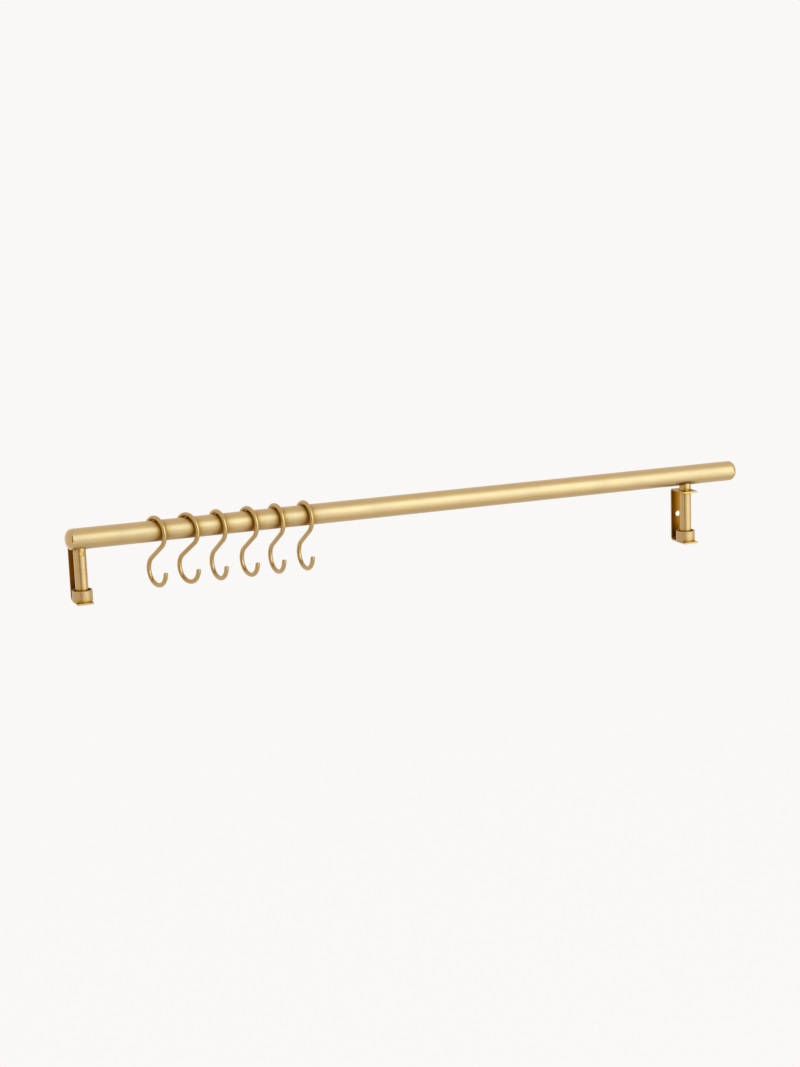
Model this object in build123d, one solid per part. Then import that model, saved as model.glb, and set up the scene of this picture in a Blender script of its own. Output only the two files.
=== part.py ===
from build123d import *
import os
from math import acos, cos, degrees, radians, sin

# Wall coat rack: a round brass rail on two bent strip brackets, with six wire hooks on it.
# Sizes are in millimetres. X runs along the rail and Z is up. The wall is the plane Y = 0,
# and the rack is on its -Y side. The origin is the centre of the left bracket's screw hole,
# on the wall plane.

# The rail, a tube closed by two domed caps
RAIL_OD = 20.8
RAIL_WALL = 1.5
CAP_DOME = 7.0
CAP_PLUG = 5.0
PLUG_FIT = 0.05

# Where the two posts stand under the rail
POST_PITCH = 657.0
LEFT_OVERHANG = 13.5
RIGHT_OVERHANG = 60.0

# The posts: a coped head against the rail, with a spigot through the rail's wall
POST_D = 12.5
SPIGOT_D = 8.0
SPIGOT_FIT = 0.05
SPIGOT_ROOT = 1.0
FOOT_CHAMFER = 0.5

# A shallow round recess near the top of the left post, turned a little towards the rail's middle
RECESS_D = 4.6
RECESS_DEPTH = 1.2
RECESS_DROP = 3.3
RECESS_TURN = 11.0

# The brackets, each bent from one strip: the right one is a C round its post, and the left one
# is an L, whose back plate ends behind the rail
STRIP_T = 1.6
STRIP_W = 16.0
BEND_R = 2.4
BRACKET_H = 56.8
POST_TO_WALL = 17.6
FLANGE_REACH = 13.0
POST_HOLE_PLAY = 0.5
SCREW_HOLE_D = 6.0

# How far below the rail's axis each bracket's lower end lies
LEFT_FOOT = 62.6
RIGHT_FOOT = 72.7

# The sockets, short tubes on the bottom flanges that the posts stand in
SOCKET_OD = 20.0
SOCKET_WALL = 1.5
SOCKET_H = 11.1
RIM_CHAMFER = 0.35

# The hooks: each an eye over the rail, a straight stem under it and an open loop
WIRE_D = 4.5
EYE_R = 15.3
LOOP_R = 14.5
LOOP_DROP = 37.3
EYE_END = 155.0
TIP_END = 0.0
WIRE_END_R = 1.2
REST_GAP = 0.2

# Each hook's place along the rail, from the left post, its twist about the vertical, and how far
# its loop hangs back under the rail by its own weight
HOOK_AT = (75.5, 107.5, 138.0, 169.5, 198.0, 228.0)
HOOK_TWIST = (20.0, 25.0, 14.0, 16.0, 11.0, 10.0)
HOOK_TILT = 1.2

# Worked out from the sizes above
RAIL_R = RAIL_OD / 2
BORE_R = RAIL_R - RAIL_WALL
RAIL_Z = LEFT_FOOT - BRACKET_H / 2
TUBE_X0 = CAP_DOME - LEFT_OVERHANG
TUBE_X1 = POST_PITCH + RIGHT_OVERHANG - CAP_DOME
TUBE_MID = (TUBE_X0 + TUBE_X1) / 2
SPIGOT_HOLE_R = SPIGOT_D / 2 + SPIGOT_FIT
LEFT_MID_Z = 0.0
RIGHT_MID_Z = LEFT_FOOT - RIGHT_FOOT

ALONG_X = Rotation(0, 90, 0)
ALONG_Y = Rotation(90, 0, 0)


def seat_z(mid_z):
    """Height of the bottom flange's upper face, where the socket and the post stand."""
    return mid_z - BRACKET_H / 2 + STRIP_T


def upright(radius, z0, z1, x):
    """A vertical cylinder on the rail's centre plane."""
    return Pos(x, -POST_TO_WALL, (z0 + z1) / 2) * Cylinder(radius, z1 - z0)


def rail_core(radius):
    """A cylinder on the rail's axis, longer than the tube."""
    length = POST_PITCH + LEFT_OVERHANG + RIGHT_OVERHANG
    return Pos(TUBE_MID, -POST_TO_WALL, RAIL_Z) * ALONG_X * Cylinder(radius, length)


def rail_tube():
    """The tube, with a hole in its underside for each post and a spare one at mid-length."""
    tube = ALONG_X * Cylinder(RAIL_R, TUBE_X1 - TUBE_X0)
    tube = Pos(TUBE_MID, -POST_TO_WALL, RAIL_Z) * tube
    tube -= rail_core(BORE_R)
    for x in (0.0, TUBE_MID, POST_PITCH):
        tube -= upright(SPIGOT_HOLE_R, RAIL_Z - RAIL_OD, RAIL_Z, x)
    return tube


def end_cap(x, turn):
    """A domed cap with a plug in the tube's bore; turn 0 faces +X and turn 180 faces -X."""
    plug_r = BORE_R - PLUG_FIT
    dome = EllipticalCenterArc((0, 0), CAP_DOME, RAIL_R, arc_size=90)
    sides = Polyline((0, RAIL_R), (0, plug_r), (-CAP_PLUG, plug_r), (-CAP_PLUG, 0), (CAP_DOME, 0))
    section = make_face([dome, sides])
    cap = revolve(section, Axis.X)
    return Pos(x, -POST_TO_WALL, RAIL_Z) * Rotation(0, 0, turn) * cap


def post(x, mid_z):
    """A round post: its foot on the bottom flange, its head coped to the rail."""
    foot = seat_z(mid_z)
    shaft = upright(POST_D / 2, foot, RAIL_Z, x)
    shaft = chamfer(shaft.faces().sort_by(Axis.Z)[0].edges(), FOOT_CHAMFER)
    shaft -= rail_core(RAIL_R)
    spigot = upright(SPIGOT_D / 2, RAIL_Z - RAIL_R - SPIGOT_ROOT, RAIL_Z, x)
    return shaft + (spigot - rail_core(BORE_R))


def recess(x):
    """The round cutter for the recess in a post's side."""
    place = Pos(x, -POST_TO_WALL, RAIL_Z - RAIL_R - RECESS_DROP) * Rotation(0, 0, RECESS_TURN)
    return place * Pos(0, -POST_D / 2, 0) * ALONG_Y * Cylinder(RECESS_D / 2, 2 * RECESS_DEPTH)


def bracket(x, mid_z, bends):
    """One strip bent forward under its post, and with a second bend forward round the post."""
    depth = POST_TO_WALL + FLANGE_REACH
    outside = Pos(-depth / 2, 0) * Rectangle(depth, BRACKET_H)
    outside = fillet(outside.vertices().group_by(Axis.X)[-1].sort_by(Axis.Y)[:bends], BEND_R + STRIP_T)
    room = BRACKET_H - bends * STRIP_T
    inside = Pos(-depth / 2 - STRIP_T, STRIP_T / 2 * (2 - bends)) * Rectangle(depth, room)
    inside = fillet(inside.vertices().group_by(Axis.X)[-1].sort_by(Axis.Y)[:bends], BEND_R)
    strip = extrude(Plane.YZ * (outside - inside), STRIP_W / 2, both=True)
    strip = Pos(x, 0, mid_z) * strip
    top = mid_z + BRACKET_H / 2
    strip -= upright(POST_D / 2 + POST_HOLE_PLAY, top - 2 * STRIP_T, top + STRIP_T, x)
    strip -= Pos(x, 0, mid_z) * ALONG_Y * Cylinder(SCREW_HOLE_D / 2, 4 * STRIP_T)
    return strip


def socket(x, mid_z):
    """A short open tube on the bottom flange, round the post's foot."""
    base = seat_z(mid_z)
    ring = upright(SOCKET_OD / 2, base, base + SOCKET_H, x)
    ring -= upright(SOCKET_OD / 2 - SOCKET_WALL, base, base + SOCKET_H, x)
    return chamfer(ring.faces().sort_by(Axis.Z)[-1].edges(), RIM_CHAMFER)


def hook(x, twist):
    """An open S of round wire. Its plane is local X to the front and local Y up."""
    eye_z = RAIL_R + REST_GAP + WIRE_D / 2 - EYE_R
    loop_z = eye_z - LOOP_DROP
    lean = degrees(acos((EYE_R + LOOP_R) / LOOP_DROP))
    leave = lean - 90
    meet = leave + 180
    eye = CenterArc((0, eye_z), EYE_R, EYE_END, leave - EYE_END)
    loop = CenterArc((0, loop_z), LOOP_R, meet, 360 + TIP_END - meet)
    stem = Line(eye @ 1, loop @ 0)
    front = (sin(radians(twist)), -cos(radians(twist)), 0)
    behind = (front[1], -front[0], 0)
    plane = Plane(origin=(x, -POST_TO_WALL, RAIL_Z), x_dir=front, z_dir=behind)
    path = plane.location * Rotation(0, 0, -HOOK_TILT) * Wire([eye, stem, loop])
    wire = sweep((path ^ 0) * Circle(WIRE_D / 2), path=path)
    ends = wire.faces().filter_by(GeomType.PLANE).edges()
    return fillet(ends, WIRE_END_R)


def build():
    """Every piece of the rack by name."""
    pieces = {"rail_tube": rail_tube()}
    pieces["left_end_cap"] = end_cap(TUBE_X0, 180)
    pieces["right_end_cap"] = end_cap(TUBE_X1, 0)
    sides = {"left": (0.0, LEFT_MID_Z, 1), "right": (POST_PITCH, RIGHT_MID_Z, 2)}
    for side, (x, mid_z, bends) in sides.items():
        pieces[f"{side}_post"] = post(x, mid_z)
        pieces[f"{side}_bracket"] = bracket(x, mid_z, bends)
        pieces[f"{side}_socket"] = socket(x, mid_z)
    pieces["left_post"] -= recess(0.0)
    for number, (x, twist) in enumerate(zip(HOOK_AT, HOOK_TWIST), start=1):
        pieces[f"hook_{number}"] = hook(x, twist)
    return pieces


os.makedirs("parts", exist_ok=True)
for name, piece in build().items():
    export_step(piece, f"parts/{name}.step")
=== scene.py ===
import bpy
from dataclasses import dataclass, replace
from math import radians
from mathutils import Matrix, Vector


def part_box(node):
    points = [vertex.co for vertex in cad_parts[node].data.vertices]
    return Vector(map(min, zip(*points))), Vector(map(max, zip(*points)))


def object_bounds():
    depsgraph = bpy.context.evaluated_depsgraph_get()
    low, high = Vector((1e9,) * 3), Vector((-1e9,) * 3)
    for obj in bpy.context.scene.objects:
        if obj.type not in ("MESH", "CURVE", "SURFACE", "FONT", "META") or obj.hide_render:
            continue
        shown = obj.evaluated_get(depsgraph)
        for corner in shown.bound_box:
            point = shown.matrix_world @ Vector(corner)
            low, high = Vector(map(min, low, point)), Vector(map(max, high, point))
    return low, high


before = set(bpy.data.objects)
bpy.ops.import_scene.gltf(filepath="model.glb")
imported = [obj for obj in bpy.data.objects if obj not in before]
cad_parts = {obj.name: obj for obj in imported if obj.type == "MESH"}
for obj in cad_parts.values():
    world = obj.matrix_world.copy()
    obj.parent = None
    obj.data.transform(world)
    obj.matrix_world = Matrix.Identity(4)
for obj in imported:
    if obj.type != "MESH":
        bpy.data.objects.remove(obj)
cad_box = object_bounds()

# The camera, in metres in the rack's frame. It stands to the left of the rail, in front of it and
# above it, and is rolled by a few degrees, so that the rail climbs to the right as steeply as in
# the photograph. The lens is in millimetres.
CAMERA_AT = Vector((-0.378, -1.906, 0.4045))
CAMERA_AIM = Vector((0.329, -0.0176, 0.0049))
CAMERA_ROLL = 2.13
LENS = 90.9

# The background colour, and how bright it is to the rays that light rough surfaces
PALE = (0.956, 0.939, 0.923)
FILL = 0.8

# The softboxes: place, width, height, power in watts and colour. The key is high in front on the
# right, the side one lower and further round, and the low one in front under the rail.
KEY = (Vector((1.05, -1.95, 0.92)), 2.5, 2.1, 45.5, (0.455, 0.672, 1.0))
SIDE = (Vector((1.75, -1.6, -0.35)), 2.2, 0.8, 7.0, (0.57, 0.76, 1.0))
LOW = (Vector((0.75, -1.3, -0.75)), 2.4, 0.7, 4.6, (0.5, 0.65, 1.0))

# The dark flag to the left of the camera, which satin brass shows as a dark line: place, width,
# height and colour
FLAG = (Vector((-0.7, -1.911, 0.428)), 0.8, 2.8, (0.24, 0.19, 0.11))

# The floor: its side, how far below the rack it is, and the share of it that is plain background
# to the rays that see it, with that background's colour
FLOOR_SIDE = 14.0
FLOOR_DROP = 0.9
FLOOR_LIT = 0.97
FLOOR_GLOW = (0.963, 0.946, 0.930)

# The index of refraction of the lacquer on the brass
COAT_IOR = 2.1

# Clouds of tarnish and specks in them: how often the noise changes in a metre, its detail, the
# values where a cloud starts and is full, and its strength there
HAZE = (45.0, 4.0, 0.36, 0.66, 1.0)
SPECKS = (380.0, 2.0, 0.62, 0.76, 0.2)

# How much of the clouds' colour shows, and how much rougher they make the metal
HAZE_SHARE = 0.4
HAZE_ROUGH = 0.04

# The grain: the noise's detail, the values between which it makes the metal smoother and rougher,
# by how much it does, and the strength and depth of its bump
GRAIN_DETAIL = 2.0
GRAIN_SPAN = (0.3, 0.7)
GRAIN_ROUGH = 0.02
GRAIN_BUMP = 0.06
GRAIN_DEPTH = 0.000004

# How open the air over a point is where the shade painted into a crevice starts and where it is
# full, and the rays that measure it
CREVICE = (0.97, 0.72)
CREVICE_RAYS = 16

# The shade painted on the front of the brackets' back plates: where it starts and is full towards
# the plate, and where it starts and is full from the wall
PLATE_SHADE_FRONT = (-0.007, -0.0025)
PLATE_SHADE_BACK = (-0.0006, -0.0014)

# Worn edges: the cosines between the plain and the rounded normal where wear starts and is full,
# the rays that round the normal, how much of the worn colour shows, and how much smoother wear
# makes the metal
EDGE = (0.999, 0.90)
EDGE_RAYS = 8
WEAR_SHARE = 0.5
WEAR_POLISH = 0.05

# The darker brown ring round the hole at mid-length in the rail's underside: the distances from
# the hole's middle where it starts and is full, and how much of its colour shows
rail_low, rail_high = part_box("rail_tube")
rail_middle = (rail_low + rail_high) / 2
MIDDLE_HOLE = (rail_middle.x, rail_middle.y, rail_low.z)
DARKER_RING_REACH = (0.0085, 0.0045)
DARKER_RING_SHARE = 0.7

# What scales the red, green and blue of the tint in clouds, specks, worn edges and the darker
# ring
HAZE_TINT = (0.88, 0.85, 0.78)
SPECK_TINT = (0.6, 0.5, 0.4)
WORN_TINT = (1.2, 1.2, 1.2)
DARKER_RING_TINT = (0.5, 0.34, 0.3)


@dataclass
class Finish:
    """One brass finish, with its lengths in metres."""
    tint: tuple              # the colour in the open
    dark: tuple              # the painted shade's colour deep in a crevice
    shade: float             # how far a crevice's painted shade reaches
    rough: float             # the metal's roughness
    coat: float              # the lacquer's share
    coat_rough: float        # the lacquer's roughness
    grain: tuple             # how often the grain changes along each axis in a metre
    wear: float = 0.0        # how far from an edge the metal is worn bright
    plate_shaded: bool = False  # whether the front of a plate against the wall has the dark colour as painted shade
    has_darker_ring: bool = False    # whether it is darker brown round the middle hole


# Each finish's dark colour is shade painted deep in its crevices
RAIL = Finish(tint=(0.52, 0.31, 0.045), dark=(0.36, 0.18, 0.02), shade=0.012, rough=0.44,
              coat=1.0, coat_rough=0.4, grain=(60, 700, 700), wear=0.0003, has_darker_ring=True)
DOME = replace(RAIL, rough=0.16, coat_rough=0.16, has_darker_ring=False)
POST = Finish(tint=(0.49, 0.275, 0.03), dark=(0.5, 0.29, 0.05), shade=0.005, rough=0.29,
              coat=0.9, coat_rough=0.28, grain=(80, 80, 700), wear=0.0002)
SOCKET = replace(POST, rough=0.42, coat_rough=0.4)
STRIP = Finish(tint=(0.55, 0.31, 0.05), dark=(0.30, 0.115, 0.004), shade=0.012, rough=0.32,
               coat=0.5, coat_rough=0.3, grain=(900, 90, 90), wear=0.0005, plate_shaded=True)
WIRE = Finish(tint=(0.48, 0.275, 0.035), dark=(0.5, 0.28, 0.04), shade=0.005, rough=0.29,
              coat=0.7, coat_rough=0.28, grain=(400, 400, 400))


def aimed(at, aim, roll=0.0):
    """A matrix at one point whose -Z looks at another, with the picture's up rolled clockwise."""
    turn = (aim - at).to_track_quat("-Z", "Y").to_matrix().to_4x4()
    return Matrix.Translation(at) @ turn @ Matrix.Rotation(radians(-roll), 4, "Z")


def add_camera():
    """The scene's camera, at the photograph's viewing angle."""
    data = bpy.data.cameras.new("camera")
    data.sensor_fit = "HORIZONTAL"
    data.lens = LENS
    camera = bpy.data.objects.new("camera", data)
    camera.matrix_world = aimed(CAMERA_AT, CAMERA_AIM, CAMERA_ROLL)
    bpy.context.scene.collection.objects.link(camera)
    bpy.context.scene.camera = camera


def add_softbox(name, at, width, height, power, colour):
    """A rectangular lamp that faces the rack and isn't seen by the camera itself."""
    data = bpy.data.lights.new(name, "AREA")
    data.shape = "RECTANGLE"
    data.size = width
    data.size_y = height
    data.energy = power
    data.color = colour
    lamp = bpy.data.objects.new(name, data)
    lamp.matrix_world = aimed(at, CAMERA_AIM)
    lamp.visible_camera = False
    bpy.context.scene.collection.objects.link(lamp)


class Nodes:
    """A small helper to write a node tree as a few plain lines."""

    def __init__(self, tree):
        tree.nodes.clear()
        self.tree = tree

    def add(self, kind, inputs=None, **settings):
        """A node with its settings, and with each input set to a value or linked to a socket."""
        node = self.tree.nodes.new(kind)
        for name, value in settings.items():
            setattr(node, name, value)
        for key, value in (inputs or {}).items():
            socket = node.inputs[key]
            if isinstance(value, bpy.types.NodeSocket):
                self.tree.links.new(value, socket)
            else:
                socket.default_value = value
        return node

    def math(self, operation, a, b, clamp=False):
        inputs = {0: a, 1: b}
        node = self.add("ShaderNodeMath", inputs, operation=operation, use_clamp=clamp)
        return node.outputs[0]

    def noise(self, place, scale, detail):
        settings = {"Vector": place, "Scale": scale, "Detail": detail}
        return self.add("ShaderNodeTexNoise", settings).outputs["Fac"]

    def ramp(self, value, start, end, low=0.0, high=1.0):
        """low up to the value's start and high from its end on, with a straight run between."""
        inputs = {0: value, 1: start, 2: end, 3: low, 4: high}
        return self.add("ShaderNodeMapRange", inputs).outputs[0]

    def cloud(self, place, scale, detail, start, end, strength):
        """Noise that is 0 up to its value at start and has its full strength from end on."""
        return self.ramp(self.noise(place, scale, detail), start, end, 0.0, strength)

    def blend(self, factor, a, b):
        """Colour a where the factor is 0 and colour b where it is 1."""
        first = a if isinstance(a, bpy.types.NodeSocket) else (*a, 1)
        # The node's sockets 6 and 7 are its two colours, and its output 2 is the mixed one
        inputs = {0: factor, 6: first, 7: (*b, 1)}
        return self.add("ShaderNodeMix", inputs, data_type="RGBA").outputs[2]

    def seen(self):
        """1 for the rays that show the background itself, to the camera or in metal or glass."""
        path = self.add("ShaderNodeLightPath").outputs
        shown = self.math("MAXIMUM", path["Is Camera Ray"], path["Is Glossy Ray"])
        return self.math("MAXIMUM", shown, path["Is Transmission Ray"])


def light_the_world():
    """A pale background, a little dimmer as a light than as it is seen."""
    world = bpy.data.worlds.new("studio")
    world.use_nodes = True
    bpy.context.scene.world = world
    n = Nodes(world.node_tree)
    level = n.ramp(n.seen(), 0.0, 1.0, FILL, 1.0)
    sky = n.add("ShaderNodeBackground", {"Color": (*PALE, 1), "Strength": level})
    n.add("ShaderNodeOutputWorld", {"Surface": sky.outputs[0]})


def add_flag(at, width, height, colour):
    """A dark upright card that faces the rack. Only shiny surfaces see it."""
    bpy.ops.mesh.primitive_plane_add(size=1)
    flag = bpy.context.object
    flag.name = "flag"
    flag.matrix_world = aimed(at, CAMERA_AIM) @ Matrix.Diagonal((width, height, 1, 1))
    flag.visible_camera = False
    flag.visible_diffuse = False
    flag.visible_shadow = False
    material = bpy.data.materials.new("flag_felt")
    material.use_nodes = True
    n = Nodes(material.node_tree)
    felt = n.add("ShaderNodeBsdfDiffuse", {"Color": (*colour, 1)})
    n.add("ShaderNodeOutputMaterial", {"Surface": felt.outputs[0]})
    flag.data.materials.append(material)


def add_floor():
    """A pale floor under the rack, which blends into the background and keeps the shadow."""
    under = (CAMERA_AIM.x, 0, cad_box[0][2] - FLOOR_DROP)
    bpy.ops.mesh.primitive_plane_add(size=FLOOR_SIDE, location=under)
    floor = bpy.context.object
    floor.name = "floor"
    material = bpy.data.materials.new("floor_paper")
    material.use_nodes = True
    n = Nodes(material.node_tree)
    paper = n.add("ShaderNodeBsdfDiffuse", {"Color": (*PALE, 1)})
    lit = n.add("ShaderNodeEmission", {"Color": (*FLOOR_GLOW, 1), "Strength": 1.0})
    share = n.math("MULTIPLY", n.seen(), FLOOR_LIT)
    both = n.add("ShaderNodeMixShader", {0: share, 1: paper.outputs[0], 2: lit.outputs[0]})
    n.add("ShaderNodeOutputMaterial", {"Surface": both.outputs[0]})
    floor.data.materials.append(material)


def shaded(colour, scales):
    """The colour with its red, green and blue scaled, and none over 1."""
    return [min(1.0, part * scale) for part, scale in zip(colour, scales)]


def crevices(n, place, look):
    """Where shade is painted: 1 deep in crevices and on the front of a plate, and 0 in the open.
    """
    reach = {"Distance": look.shade}
    air = n.add("ShaderNodeAmbientOcclusion", reach, samples=CREVICE_RAYS).outputs["AO"]
    # Shade painted into crevices, where little open air reaches
    deep = n.ramp(air, *CREVICE)
    if look.plate_shaded:
        # Shade painted on the front of a bracket's back plate
        y = n.add("ShaderNodeSeparateXYZ", {0: place}).outputs["Y"]
        plate_shade = n.math("MULTIPLY", n.ramp(y, *PLATE_SHADE_FRONT), n.ramp(y, *PLATE_SHADE_BACK))
        deep = n.math("MAXIMUM", deep, plate_shade)
    return deep


def worn_edges(n, look):
    """The normal, rounded over the edges, and the wear on them, from 0 to 1."""
    rounded = n.add("ShaderNodeBevel", {"Radius": look.wear}, samples=EDGE_RAYS).outputs[0]
    plain = n.add("ShaderNodeNewGeometry").outputs["Normal"]
    match = n.add("ShaderNodeVectorMath", {0: rounded, 1: plain}, operation="DOT_PRODUCT")
    return rounded, n.ramp(match.outputs["Value"], *EDGE)


def brass(name, look):
    """Lacquered satin brass with clouds and specks of patina, grain, shade painted into crevices
    and worn edges.
    """
    material = bpy.data.materials.new(name)
    material.use_nodes = True
    n = Nodes(material.node_tree)
    place = n.add("ShaderNodeTexCoord").outputs["Object"]
    haze = n.cloud(place, *HAZE)
    specks = n.math("MULTIPLY", n.cloud(place, *SPECKS), haze)
    drawn = n.add("ShaderNodeMapping", {"Vector": place, "Scale": look.grain}).outputs[0]
    grain = n.noise(drawn, 1.0, GRAIN_DETAIL)
    crevice = crevices(n, place, look)

    clouded = n.math("MULTIPLY", haze, HAZE_SHARE)
    metal = n.blend(clouded, look.tint, shaded(look.tint, HAZE_TINT))
    metal = n.blend(specks, metal, shaded(look.tint, SPECK_TINT))
    # The painted shade: the dark colour in crevices and on the plates' fronts
    metal = n.blend(crevice, metal, look.dark)
    rough = n.math("ADD", n.ramp(haze, 0.0, 1.0, look.rough, look.rough + HAZE_ROUGH),
                   n.ramp(grain, *GRAIN_SPAN, -GRAIN_ROUGH, GRAIN_ROUGH))
    bump = {"Strength": GRAIN_BUMP, "Distance": GRAIN_DEPTH, "Height": grain}
    surface = {}
    if look.wear:
        rounded, wear = worn_edges(n, look)
        bright = n.math("MULTIPLY", wear, WEAR_SHARE)
        metal = n.blend(bright, metal, shaded(look.tint, WORN_TINT))
        rough = n.math("SUBTRACT", rough, n.math("MULTIPLY", wear, WEAR_POLISH), clamp=True)
        bump["Normal"] = rounded
        surface["Coat Normal"] = rounded
    if look.has_darker_ring:
        # Darker brown round the middle hole
        away = n.add("ShaderNodeVectorMath", {0: place, 1: MIDDLE_HOLE}, operation="DISTANCE")
        darker_ring = n.ramp(away.outputs["Value"], *DARKER_RING_REACH, 0.0, DARKER_RING_SHARE)
        metal = n.blend(darker_ring, metal, shaded(look.tint, DARKER_RING_TINT))

    surface.update({
        "Base Color": metal,
        "Metallic": 1.0,
        "Roughness": rough,
        "Normal": n.add("ShaderNodeBump", bump).outputs[0],
        # The lacquer fades out where shade is painted
        "Coat Weight": n.ramp(crevice, 0.0, 1.0, look.coat, 0.0),
        "Coat Roughness": look.coat_rough,
        "Coat IOR": COAT_IOR,
    })
    shader = n.add("ShaderNodeBsdfPrincipled", surface)
    n.add("ShaderNodeOutputMaterial", {"Surface": shader.outputs[0]})
    return material


def dress(material, *names):
    """Give the named nodes of the CAD model this material alone."""
    for name in names:
        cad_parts[name].data.materials.clear()
        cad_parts[name].data.materials.append(material)


add_camera()
add_floor()
add_flag(*FLAG)
light_the_world()
add_softbox("key", *KEY)
add_softbox("side", *SIDE)
add_softbox("low", *LOW)
dress(brass("rail_brass", RAIL), "rail_tube")
dress(brass("dome_brass", DOME), "left_end_cap", "right_end_cap")
dress(brass("post_brass", POST), "left_post", "right_post")
dress(brass("socket_brass", SOCKET), "left_socket", "right_socket")
dress(brass("strip_brass", STRIP), "left_bracket", "right_bracket")
dress(brass("hook_brass", WIRE), *[f"hook_{number}" for number in range(1, 7)])
bpy.context.scene.view_settings.view_transform = "Standard"
